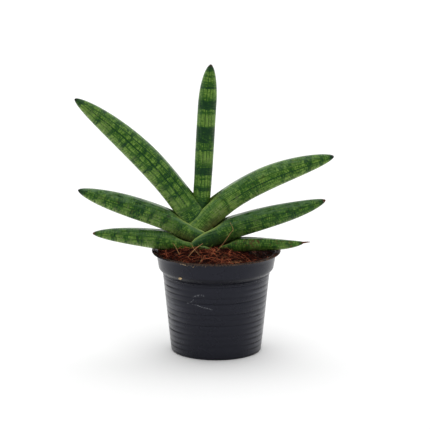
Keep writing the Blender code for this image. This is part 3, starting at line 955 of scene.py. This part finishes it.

# Each leaf repeats the imported model's base, headings in degrees, and sizes. thickness and width are each at
# the sheath and along the leaf. margin is how high the sheath's margin stands, as a share of half the
# thickness, and closes is where the channel closes to a round leaf. bands and pale_bands are each a start and
# an end from the base in millimetres, a strength, and how soft the two ends are, if not 0.8 mm. lines are the
# dark grooves, each at a share of the way round, with its strength. jitter is how far the strips between the
# grooves shift their bands, in millimetres, and the rest are strengths of a pattern or a tone of the skin,
# save two: shaded is the strength of painted shade low on the sheath, and the bloom's strength is that of a
# waxy bloom with a painted sheen on the upper flank.
LEAVES = {
    "leaf_centre": dict(
        base=(-0.0189, 0.0, 0.0016), headings=(79.1, 91.8, 83.4), sway=0.006, length=0.1584, nose=0.034,
        thickness=(0.0158, 0.0157), width=(0.015, 0.0158), margin=0.95, closes=(0.022, 0.04),
        bands=(
            (28, 46, 0.5, 2.0, 2.0), (51.5, 55, 0.65, 0.6, 1.5), (61, 62.5, 0.4), (65, 71.5, 0.95, 0.7, 1.0),
            (71.5, 76, 0.4, 0.8, 3.0), (85.5, 87, 0.85, 0.4, 0.6), (87, 93, 0.3, 0.8, 1.0),
            (92.5, 106, 0.85, 0.6, 1.0), (97, 105.5, 1.0, 3.0, 0.6), (116.5, 119, 0.35),
            (120.5, 128.5, 0.8, 0.8, 2.0), (128, 131, 0.3), (138, 140, 0.7, 0.4, 0.8), (140, 144, 0.35),
            (148, 149, 0.4), (153, 158, 0.6, 2.0, 1.0),
        ),
        pale_bands=((74, 84, 0.25, 2.0, 2.0), (107, 116, 0.2, 2.0, 2.0)),
        lines=(
            (0.08, 0.5), (0.2, 0.6), (0.318, 0.75), (0.428, 0.85), (0.546, 0.85), (0.62, 0.4), (0.705, 0.75),
            (0.8, 0.6), (0.9, 0.5),
        ),
        jitter=0.5, banding=0.95, ragged=0.3, mottle=0.7, grained=0.7, ground=0.17, streaks=0.1, spots=0.0,
        pale_rim=0.3, shaded=0.3, dried=0.2, olive=0.0, bloom_and_sheen=0.2,
    ),
    "leaf_upper_left": dict(
        base=(-0.0067, 0.0, 0.0056), headings=(115.2, 136.6, 143.2), sway=-0.005, length=0.1704, nose=0.09,
        thickness=(0.0226, 0.0228), width=(0.0186, 0.0216), margin=0.97, closes=(0.03, 0.05),
        bands=(
            (24, 40, 0.5), (51, 55, 0.55), (62, 65.5, 0.6), (69, 74, 0.55), (83, 87, 0.75), (91, 93, 0.4),
            (97.5, 101, 0.75), (104, 105, 0.4), (113, 116, 0.7), (119, 121, 0.4), (128, 131.5, 0.55),
            (143, 147, 0.6), (154, 156, 0.35), (163, 170, 0.6),
        ),
        pale_bands=(
            (38, 50, 0.32, 3.0, 2.0), (56, 61, 0.2), (76, 82, 0.2), (132, 142, 0.3, 2.0, 2.0),
            (148, 164, 0.3, 2.0, 2.0),
        ),
        lines=(
            (0.1, 0.6), (0.25, 0.55), (0.406, 0.85), (0.548, 1.15), (0.702, 1.0), (0.84, 0.6), (0.94, 0.5),
        ),
        jitter=1.3, banding=0.62, ragged=0.5, mottle=0.9, grained=0.9, ground=0.26, streaks=0.55, spots=0.0,
        pale_rim=0.15, shaded=0.3, dried=0.0, olive=0.0, bloom_and_sheen=0.2,
    ),
    "leaf_upper_right": dict(
        base=(-0.0205, 0.0, 0.0119), headings=(58.0, 16.5, 14.8), sway=0.004, length=0.1422, nose=0.076,
        thickness=(0.0214, 0.021), width=(0.0222, 0.0206), margin=0.88, closes=(0.026, 0.046),
        bands=(
            (41, 43.5, 0.5), (52, 54, 0.3), (58, 74, 0.35), (70, 75, 0.4), (94.5, 98, 0.5), (102, 105.5, 0.6),
            (110, 111, 0.3), (117, 122.5, 0.7), (129, 133, 0.4), (138, 142, 0.9),
        ),
        pale_bands=((27, 40, 0.5, 4.0, 3.0), (44, 54, 0.3, 2.0, 3.0)),
        lines=((0.12, 0.5), (0.26, 0.5), (0.383, 0.7), (0.476, 1.1), (0.613, 0.7), (0.77, 0.5), (0.9, 0.5)),
        jitter=1.5, banding=0.62, ragged=0.6, mottle=0.8, grained=1.3, ground=0.25, streaks=0.5, spots=0.15,
        pale_rim=0.6, shaded=0.35, dried=0.0, olive=0.75, bloom_and_sheen=0.45,
    ),
    "leaf_middle_left": dict(
        base=(-0.0033, 0.0, 0.0065), headings=(144.9, 168.4, 160.2), sway=-0.003, length=0.1234, nose=0.061,
        thickness=(0.0202, 0.0192), width=(0.0258, 0.019), margin=0.64, closes=(0.03, 0.046),
        bands=(
            (5, 20, 0.4), (31, 36, 0.35), (44, 48, 0.6), (57.5, 60.5, 0.65), (66, 76, 0.55), (84, 90, 0.6),
            (98, 101, 0.55), (107, 110, 0.4), (117, 123, 0.8),
        ),
        pale_bands=(
            (36, 44, 0.3, 3.0, 2.0), (50, 57, 0.45, 2.0, 2.0), (60, 65, 0.3), (78, 84, 0.3), (101, 107, 0.3),
        ),
        lines=((0.15, 0.5), (0.3, 0.5), (0.42, 0.6), (0.5, 0.9), (0.6, 0.7), (0.75, 0.5), (0.9, 0.5)),
        jitter=1.8, banding=0.7, ragged=0.7, mottle=0.9, grained=1.0, ground=0.34, streaks=0.75, spots=0.15,
        pale_rim=0.95, shaded=0.3, dried=0.0, olive=0.6, bloom_and_sheen=0.85,
    ),
    "leaf_middle_right": dict(
        base=(-0.0184, 0.0, 0.0057), headings=(29.8, 6.0, 22.4), sway=-0.006, length=0.1182, nose=0.081,
        thickness=(0.0194, 0.02), width=(0.0294, 0.0194), margin=0.73, closes=(0.021, 0.034),
        bands=(
            (0, 24, 0.55), (37, 39, 0.35), (46, 52, 0.45), (60, 64, 0.35), (72, 76, 0.4), (84, 90, 0.5),
            (96, 99, 0.55), (104, 106, 0.4), (113, 118, 0.8),
        ),
        pale_bands=((40, 46, 0.2), (53, 60, 0.2)),
        lines=((0.12, 0.5), (0.28, 0.5), (0.42, 0.6), (0.565, 1.1), (0.68, 0.6), (0.8, 0.5), (0.92, 0.5)),
        jitter=1.5, banding=0.55, ragged=0.7, mottle=0.8, grained=1.5, ground=0.45, streaks=0.35, spots=0.1,
        pale_rim=0.95, shaded=0.75, dried=0.8, olive=0.35, bloom_and_sheen=0.7,
    ),
    "leaf_lower_left": dict(
        base=(-0.002, 0.0, 0.001), headings=(166.7, 175.2, 177.5), sway=0.003, length=0.1044, nose=0.079,
        thickness=(0.0164, 0.0187), width=(0.0326, 0.0186), margin=0.45, closes=(0.026, 0.044),
        bands=((46, 49, 0.5), (60, 66, 0.45), (73, 76, 0.4), (83, 87.5, 0.45), (95, 98, 0.3)),
        pale_bands=((50, 60, 0.35, 2.0, 2.0), (67, 72, 0.3), (77, 83, 0.35), (88, 95, 0.3)),
        lines=((0.15, 0.5), (0.33, 0.65), (0.47, 0.9), (0.6, 0.75), (0.75, 0.5), (0.9, 0.5)),
        jitter=1.0, banding=0.8, ragged=0.6, mottle=0.9, grained=1.1, ground=0.33, streaks=0.8, spots=0.1,
        pale_rim=0.6, shaded=0.0, dried=1.0, olive=0.0, bloom_and_sheen=0.6,
    ),
    "leaf_lower_right": dict(
        base=(0.0011, -0.004, 0.001), headings=(23.5, -19.7, 12.5), sway=-0.002, length=0.0745, nose=0.062,
        thickness=(0.0126, 0.0127), width=(0.015, 0.013), margin=0.6, closes=(0.01, 0.02),
        bands=((0, 14, 0.4), (24, 27, 0.35), (36, 39, 0.3), (47, 50, 0.35), (60, 62, 0.3)),
        pale_bands=((27, 36, 0.25, 2.0, 2.0), (52, 60, 0.25, 2.0, 2.0)),
        lines=((0.2, 0.5), (0.4, 0.6), (0.56, 0.7), (0.75, 0.5), (0.9, 0.4)),
        jitter=1.2, banding=0.6, ragged=0.6, mottle=1.0, grained=1.1, ground=0.35, streaks=0.5, spots=0.6,
        pale_rim=0.5, shaded=0.35, dried=1.0, olive=0.3, bloom_and_sheen=0.1,
    ),
}
BAND_SOFTNESS = (0.8, 0.8)
LINE_HALF_WIDTH = 0.016
# The lowest right leaf ends in a withered thread: where it runs from the leaf's tip, and how thick it is
WITHERED_LEAF = "leaf_lower_right"
WITHERED_TIP = ((-0.0030, 0.0, -0.0002), (0.0004, 0.0, 0.0000), (0.0026, 0.0, 0.0003), (0.0048, 0.0, 0.0004))
WITHERED_RADII = (0.0009, 0.00035)
WITHERED_STEPS = 12


def spine(leaf):
    """Points along the middle of the leaf, from its base to its tip."""
    points = []
    step = leaf["length"] / SPINE_STEPS
    x, base_y, rise = leaf["base"]
    z = POT_HEIGHT + rise
    first, middle, last = leaf["headings"]
    for index in range(SPINE_STEPS + 1):
        share = index / SPINE_STEPS
        points.append(Vector((x, base_y + leaf["sway"] * share * share, z)))
        along = share + 0.5 / SPINE_STEPS
        heading = (1 - along) ** 2 * first + 2 * along * (1 - along) * middle + along**2 * last
        x += step * math.cos(math.radians(heading))
        z += step * math.sin(math.radians(heading))
    return points


def half_sizes(leaf, along):
    """Half the leaf's width and thickness at a distance from its base."""
    to_tip = max(leaf["length"] - along, 0.0)
    nose = heel = 1.0
    if to_tip < leaf["nose"]:
        nose = (1 - (1 - to_tip / leaf["nose"]) ** 2) ** NOSE_POWER
    if along < HEEL_LENGTH:
        heel = math.sqrt(1 - (1 - mix(HEEL_SHARE, 1.0, along / HEEL_LENGTH)) ** 2)
    opened = smooth_step(along / SHEATH_LENGTH)
    width = mix(*leaf["width"], opened) * nose
    thickness = mix(*leaf["thickness"], opened) * nose * heel
    return width / 2, thickness / 2


def lip_lift(name, leaf):
    """How far a low leaf has to rise for its underside to clear the pot's lip."""
    lift = 0.0
    if name in LEAVES_OVER_LIP:
        for index, point in enumerate(spine(leaf)):
            if INSIDE_RADIUS < math.hypot(point.x, point.y) < LIP_RADIUS:
                thickness = half_sizes(leaf, leaf["length"] * index / SPINE_STEPS)[1]
                lift = max(lift, POT_HEIGHT + LIP_CLEARANCE + thickness - point.z)
    return lift


def bow(angle, width, height, squareness):
    """A point on a squared oval, the angle counted from its lowest point."""
    side = math.sin(angle)
    up = -math.cos(angle)
    power = 2 / squareness
    across = width * math.copysign(abs(side) ** power, side)
    return across, height * math.copysign(abs(up) ** power, up)


def half_outline(leaf, along, wall):
    """The half outline of the section, as (across, up) pairs."""
    width, thickness = half_sizes(leaf, along)
    lean = MARGIN_LEAN * width
    wall = min(wall, 0.4 * width)
    margin = leaf["margin"] * thickness
    closed = ramp(along, *leaf["closes"])
    closes_at = leaf["closes"][1]
    trace = TRACE_DEPTH * closed * (1 - ramp(along, closes_at, closes_at + TRACE_LENGTH))
    squareness = mix(SHEATH_SQUARENESS, LEAF_ROUNDNESS, smooth_step(along / SHEATH_LENGTH))
    depth = ramp(along, 0.0, CHANNEL_START)
    channel = thickness - mix(*CHANNEL_FLOORS, depth) * thickness
    points = []
    for index, share in enumerate(AROUND):
        round_across, round_up = bow(math.pi * share, width, thickness, squareness)
        round_up -= trace * ramp(share, 0.82, 1.0)
        across, up = round_across, round_up
        if FLANK_POINTS <= index < RIM_START:
            rise = (index - FLANK_POINTS + 1) / (WALL_POINTS + 0.6)
            across, up = mix(width, lean, rise * rise), margin * rise
        elif RIM_START <= index < RIM_START + RIM_POINTS:
            across = lean - wall * RIM_INSETS[index - RIM_START]
            up = margin - wall * RIM_DROPS[index - RIM_START]
        elif index >= RIM_START + RIM_POINTS:
            step = (index - HALF_POINTS + CHANNEL_POINTS + 1) / CHANNEL_POINTS
            down = step / CHANNEL_TURN
            if down < 1:
                across, up = mix(lean, width, down) - wall, mix(margin - 0.4 * wall, 0.0, down)
            else:
                turn = (math.pi / 2) * (1 - (step - CHANNEL_TURN) / (1 - CHANNEL_TURN))
                across, up = bow(turn, width - wall, channel, squareness)
            across = mix((lean - wall) * (1 - step), across, depth)
            up = mix(margin - 0.35 * wall, up, depth)
        points.append((mix(across, round_across, closed), mix(up, round_up, closed)))
    return points


def straight_leaf(name, leaf, wall):
    """The leaf before it bends: a cylinder along X, cut into rings that take the section's outline."""
    deselect_all()
    bpy.ops.mesh.primitive_cylinder_add(
        vertices=2 * (HALF_POINTS - 1),
        radius=1.0,
        depth=1.0,
        end_fill_type="NGON",
        rotation=(0, math.pi / 2, 0),
    )
    obj = added(name)
    make_active(obj)
    bpy.ops.object.transform_apply(location=True, rotation=True, scale=True)
    start_edit(obj, "DESELECT")
    select_parts(obj, "EDGE", lambda edge: abs(edge.verts[0].co.x - edge.verts[1].co.x) > 0.5)
    bpy.ops.mesh.subdivide(number_cuts=LEAF_RINGS - 2)
    end_edit()
    outlines = []
    for ring in range(LEAF_RINGS):
        share = (1 - math.cos(math.pi * ring / (LEAF_RINGS - 1))) / 2
        along = min(share * leaf["length"], leaf["length"] - TIP_GAP)
        outlines.append((along, half_outline(leaf, along, wall)))
    # growth is the way along the leaf, the way round it, and the sheath's rim. inside is the channel's face.
    for kept, kind in (("growth", "FLOAT_VECTOR"), ("inside", "FLOAT"), ("straight", "FLOAT_VECTOR")):
        obj.data.attributes.new(kept, kind, "POINT")
    growth, inside, straight = (obj.data.attributes[kept].data for kept in ("growth", "inside", "straight"))
    for vert in obj.data.vertices:
        ring = round((vert.co.x + 0.5) * (LEAF_RINGS - 1))
        angle = math.atan2(vert.co.y, -vert.co.z)
        point = round(abs(angle) / math.pi * (HALF_POINTS - 1))
        along, outline = outlines[ring]
        across, up = outline[point]
        side = math.copysign(1.0, angle) if 0 < point < HALF_POINTS - 1 else 0.0
        vert.co = (along, across * side, up)
        opened = 1 - ramp(along, *leaf["closes"])
        rim = max(0.0, 1 - abs(point - RIM_START - 1) / 3.0)
        growth[vert.index].vector = (along, AROUND[point], rim * opened)
        inside[vert.index].value = opened * (point > RIM_START + 1)
        straight[vert.index].vector = vert.co
    return obj


def bend(obj, points):
    """Bends the straight leaf along its spine."""
    guide = new_path("spine", points)
    guide.data.twist_mode = "MINIMUM"
    apply_modifier(obj, "CURVE", object=guide, deform_axis="POS_X")
    bpy.data.objects.remove(guide)


def band_mask(node, bands, along):
    """Bands across the leaf."""
    total = 0.0
    for start, end, strength, *soft in bands:
        soft_start, soft_end = soft or BAND_SOFTNESS
        rise = (along, (start - soft_start) * MM, (start + soft_start) * MM)
        fall = (along, (end + soft_end) * MM, (end - soft_end) * MM)
        total = node("Math", total, where_all(node, rise, fall, strength), **MOST)
    return total


def groove_mask(node, lines, turn):
    """The leaf's dark grooves, and the number of the strip between them that each place is in."""
    total = strip = 0.0
    for place, strength in lines:
        away = node("Math", weigh(node, -place, (turn, 1.0)), operation="ABSOLUTE")
        half_width = LINE_HALF_WIDTH * (0.4 + strength)
        groove = where_all(node, (away, half_width, 0.25 * half_width), strength)
        total = node("Math", total, groove, **MOST)
        strip = weigh(node, strip, (node("Math", turn, place, operation="GREATER_THAN"), 1.0))
    return total, strip


def succulent_leaf(name, leaf, seed, settings):
    """A succulent leaf: a waxy satin skin, dark cross-bands of ticks, and fine dark grooves to the tip."""
    material, node, shader = new_material("succulent_" + name, {"IOR": 1.36, "Specular IOR Level": 0.24})
    growth = node("Attribute", output="Vector", attribute_name="growth")
    straight = node("Attribute", output="Vector", attribute_name="straight")
    inside = node("Attribute", output="Fac", attribute_name="inside")
    along, around, rim = node("SeparateXYZ", growth).node.outputs
    shifted = node("VectorMath", straight, (seed * 0.37, seed * 0.11, 0.0), operation="ADD")

    def grain(size, detail, across=1.0):
        """Noise about 0, whose lumps are this long and this many times as wide."""
        mapped = node("Mapping", shifted, Scale=(1 / size, 1 / size / across, 1 / size / across))
        return weigh(node, -0.5, (node("TexNoise", mapped, Scale=1.0, Detail=detail), 1.0))

    # Ticks are 1 mm long and three times as wide, and clumps of them are 3 mm long.
    ticks = grain(0.0010, 3.0, 3.0)
    clumps = grain(0.0030, 4.0, 1.6)
    # The grooves wander by a fortieth of the way round, break off here and there, and start above the sheath.
    turn = weigh(node, around, (grain(0.018, 2.0), 0.06))
    lines, strip = groove_mask(node, leaf["lines"], turn)
    grooves = where_all(node, lines, (grain(0.009, 3.0), -0.34, -0.06), (along, 0.024, 0.052))
    # Each strip between two grooves shifts its bands.
    shift = node("TexWhiteNoise", W=weigh(node, seed * 13.7, (strip, 1.0)), noise_dimensions="1D")
    jitter = leaf["jitter"] * MM
    ragged = weigh(node, 0.0, (ticks, 3.0 * MM), (clumps, 4.0 * MM))
    banded = weigh(node, -jitter, (along, 1.0), (shift, 2 * jitter), (ragged, leaf["ragged"]))
    bands = band_mask(node, leaf["bands"], banded)
    # Streaks, 9 mm by 1 mm, run along between the grooves, with 21 hair lines in half a turn.
    hair = node("Math", weigh(node, 0.0, (turn, 21.0)), 0.5, operation="PINGPONG")
    mottle = leaf["mottle"]
    dark = weigh(
        node,
        leaf["ground"],
        (clumps, 0.35 * mottle),
        (ticks, 1.9 * mottle),
        (grain(0.009, 3.0, 0.11), leaf["grained"]),
        (bands, weigh(node, leaf["banding"], (clumps, 0.7), (ticks, 1.8))),
        (where_all(node, (hair, 0.25, 0.05), (clumps, -0.2, 0.1)), 0.2),
    )
    ground = node("ValToRGB", node("Math", dark, grooves, **MOST))
    stops = ground.node.color_ramp.elements
    stops[0].color = settings.light
    stops[1].color = settings.dark
    stops.new(0.45).color = settings.middle
    pale_bands = band_mask(node, leaf["pale_bands"], banded)
    spots = weigh(node, grain(0.0021, 3.0), (grain(0.01, 2.0), 0.7))
    ending = weigh(node, along, (ragged, 0.5))
    length = leaf["length"]
    corky = mix_colours(settings.tip, settings.dried, leaf["dried"])
    skin = lay_over(
        node,
        ground,
        # Pale flecks, 1.2 mm long, across the lower flank
        ((grain(0.0012, 2.0, 5.0), -0.1, 0.14), (around, 0.44, 0.2), leaf["streaks"], settings.pale),
        (pale_bands, (ticks, -0.06, 0.12), (around, 0.72, 0.5), settings.pale),
        # Waxy bloom with a painted sheen, in streaks on the upper flank
        ((around, 0.54, 0.8), (grain(0.007, 3.0, 0.2), -0.15, 0.1), leaf["bloom_and_sheen"], settings.waxy),
        # Painted shade darkens the sheath's lower side towards the coir, and an olive-brown tinge makes it
        # browner there
        ((along, 0.050, 0.012), (around, 0.62, 0.25), leaf["shaded"], settings.dark),
        ((along, 0.046, 0.016), (around, 0.6, 0.3), leaf["olive"], settings.olive),
        (inside, 0.5, settings.pale),
        (rim, leaf["pale_rim"], settings.margin),
        ((spots, 0.10, 0.17), leaf["spots"], settings.dried),
        # The tip is darker in its last 6.5 mm, and corky in its last 2.4 mm
        ((ending, length - 0.0065, length - 0.0025), 0.55, settings.dark),
        ((ending, length - 0.0024, length - 0.0013), corky),
    )
    rough = weigh(node, 0.43, (grain(0.004, 3.0), 0.2))
    bump = node("Bump", Height=weigh(node, 0.0, (ticks, 0.6), (grooves, -1.0)), Strength=0.5, Distance=0.0002)
    feed(shader, {"Base Color": skin, "Roughness": rough, "Normal": bump})
    return material


class PLANT_OT_leaves(bpy.types.Operator):
    """Model each leaf straight, bend it along its spine and finish it"""

    bl_idname = "plant.leaves"
    bl_label = "Leaves"

    def execute(self, context):
        settings = context.scene.plant.leaf
        for seed, (name, leaf) in enumerate(LEAVES.items(), 1):
            piece = straight_leaf(name + "_blade", leaf, settings.wall)
            subdivide_surface(piece, 1)
            lift = Vector((0, 0, lip_lift(name, leaf)))
            points = [point + lift for point in spine(leaf)]
            bend(piece, points)
            materials = [succulent_leaf(name[5:] + "_leaf", leaf, seed, settings)]
            piece.data.materials.append(materials[0])
            if name == WITHERED_LEAF:
                materials.append(coir_fibre("withered_leaf_tip", settings.dried, 0.4))
                line = curve_through([points[-1] + Vector(offset) for offset in WITHERED_TIP], WITHERED_STEPS)
                radii = [mix(*WITHERED_RADII, step / WITHERED_STEPS) for step in range(WITHERED_STEPS + 1)]
                thread = bevelled_line("withered_tip", line, radii, materials[1])
                piece = join_pieces([piece, thread], name + "_blade")
            finish_piece(piece, materials, [name], math.radians(60))
        return {"FINISHED"}


# ---------------------------------------------------------------- strands and crown

# Loose strands: the thickness of each, and the points along it, as x, y and the height over the coir, all in
# tenths of a millimetre
STRANDS = {
    "strand_leaning": (
        6,
        ((-2, -300, 13), (58, -215, 54), (120, -168, 137), (143, -152, 175), (118, -138, 217)),
    ),
    "strand_thick": (10, ((-232, -350, 13), (-175, -285, 33), (-113, -205, 35))),
    "strand_left": (7, ((-368, -155, 56), (-342, -225, 47), (-309, -300, 8))),
    "strand_crossing": (6, ((-215, -195, 36), (-180, -262, 9), (-138, -350, 13))),
}
STRAND_STEPS = 30
# The strands narrow to this share of their radius at the ends
STRAND_END = 0.35


def curve_through(points, steps):
    """Evenly stepped points on a smooth curve through the given ones."""
    ends = [2 * points[0] - points[1], *points, 2 * points[-1] - points[-2]]
    found = []
    for index in range(steps + 1):
        place = (len(points) - 1) * index / steps
        start = min(int(place), len(points) - 2)
        share = place - start
        a, b, c, d = ends[start : start + 4]
        slope = (c - a) * (share / 2)
        curving = (2 * a - 5 * b + 4 * c - d) * (share**2 / 2)
        found.append(b + slope + curving + (3 * (b - c) + d - a) * (share**3 / 2))
    return found


class PLANT_OT_strands(bpy.types.Operator):
    """Lay the four long strands, each thinner towards its ends"""

    bl_idname = "plant.strands"
    bl_label = "Strands"

    def execute(self, context):
        material = coir_fibre("coir_strand_bleached", context.scene.plant.coir.straw, 0.3)
        for name, (diameter, places) in STRANDS.items():
            points = []
            for place in places:
                x, y, rise = (value * 0.1 * MM for value in place)
                points.append(Vector((x, y, soil_height(x, y) + rise)))
            radii = []
            for step in range(STRAND_STEPS + 1):
                fullness = math.sin(math.pi * (0.08 + 0.84 * step / STRAND_STEPS)) ** 0.6
                radii.append(0.36 * diameter * 0.1 * MM * mix(STRAND_END, 1.0, fullness))
            piece = bevelled_line(name + "_fibre", curve_through(points, STRAND_STEPS), radii)
            finish_piece(piece, [material], [name])
        return {"FINISHED"}


class PLANT_OT_crown(bpy.types.Operator):
    """Finish the short stem that stays under the coir"""

    bl_idname = "plant.crown"
    bl_label = "Crown"

    def execute(self, context):
        # Living stem tissue is pale and dull, with leaf scars about 2 mm apart round it.
        material, node, shader = new_material("pale_stem_tissue", {"Roughness": 0.6, "IOR": 1.4})
        flat = node("Mapping", node("TexCoord", output="Object"), Scale=(60.0, 60.0, 500.0))
        scars = node("TexNoise", flat, Scale=1.0)
        feed(shader, {"Base Color": lay_over(node, linear("#8c7a3c"), (scars, linear("#c6b86c")))})
        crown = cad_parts["crown"]
        crown.data.materials.clear()
        crown.data.materials.append(material)
        return {"FINISHED"}


# ---------------------------------------------------------------- panel and start

OPERATORS = (
    PLANT_OT_stage,
    PLANT_OT_pot,
    PLANT_OT_coir_bed,
    PLANT_OT_coir_litter,
    PLANT_OT_stuck_crumbs,
    PLANT_OT_leaves,
    PLANT_OT_strands,
    PLANT_OT_crown,
)


class PLANT_PT_build(bpy.types.Panel):
    """Lists the steps that build the plant"""

    bl_label = "Snake plant"
    bl_idname = "PLANT_PT_build"
    bl_space_type = "VIEW_3D"
    bl_region_type = "UI"
    bl_category = "Snake plant"

    def draw(self, context):
        for operator in OPERATORS:
            self.layout.operator(operator.bl_idname)


SETTINGS = (PotSettings, CoirSettings, LeafSettings, StageSettings, PlantSettings)
CLASSES = (*SETTINGS, *OPERATORS, PLANT_PT_build)


def register():
    for each in CLASSES:
        bpy.utils.register_class(each)
    bpy.types.Scene.plant = PointerProperty(type=PlantSettings)


def unregister():
    del bpy.types.Scene.plant
    for each in reversed(CLASSES):
        bpy.utils.unregister_class(each)


def main():
    register()
    bpy.ops.plant.stage()
    bpy.ops.plant.pot()
    bpy.ops.plant.coir_bed()
    bpy.ops.plant.coir_litter()
    bpy.ops.plant.stuck_crumbs()
    bpy.ops.plant.leaves()
    bpy.ops.plant.strands()
    bpy.ops.plant.crown()


if __name__ == "__main__":
    main()
